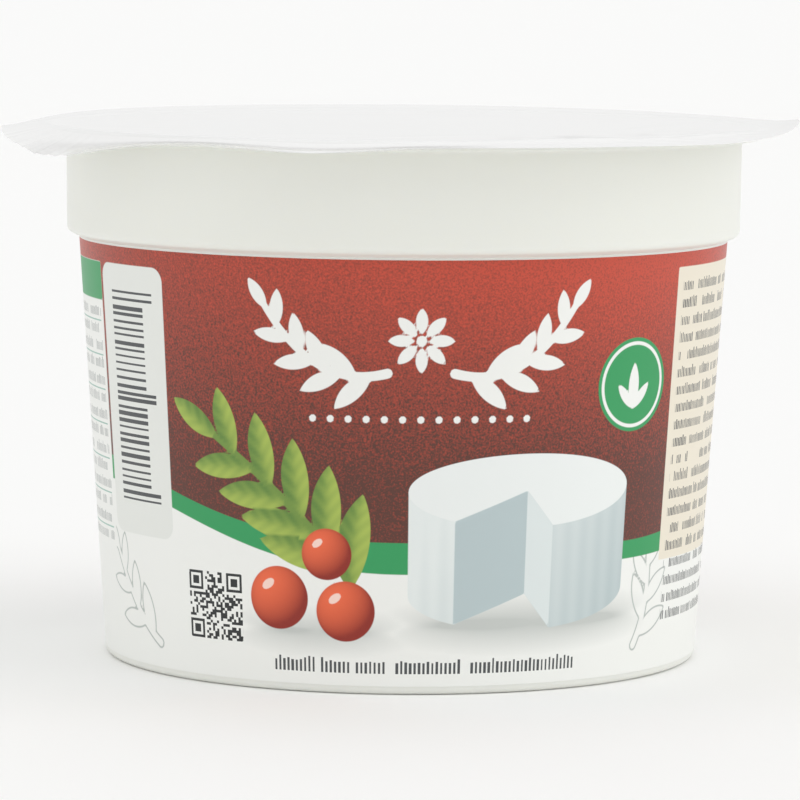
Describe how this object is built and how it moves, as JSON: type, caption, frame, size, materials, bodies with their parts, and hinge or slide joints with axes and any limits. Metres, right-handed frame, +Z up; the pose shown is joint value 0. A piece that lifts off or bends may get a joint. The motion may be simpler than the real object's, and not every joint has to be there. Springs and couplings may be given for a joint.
{
  "type": "sealed tub of fresh cheese",
  "caption": "Round tapered tub of white plastic with a straight collar, a printed wrap-round label and a heat-sealed film lid with a loose wavy edge, holding fresh cheese.",
  "frame": {"origin": "centre of the base, on the surface that the tub stands on", "axes": "+Z up along the tub's axis, -Y towards the front of the label, +X to the right as seen from the front"},
  "size_m": [0.1124, 0.1124, 0.0762],
  "materials": {
    "tub_plastic": "satin white moulded polypropylene",
    "label_print": "satin printed film label, brick red over white",
    "lid_film": "thin white sealing film, soft gloss"
  },
  "bodies": {
    "root": {"tub": "tub_plastic", "label": "label_print", "lid_film": "lid_film"}
  },
  "joints": []
}
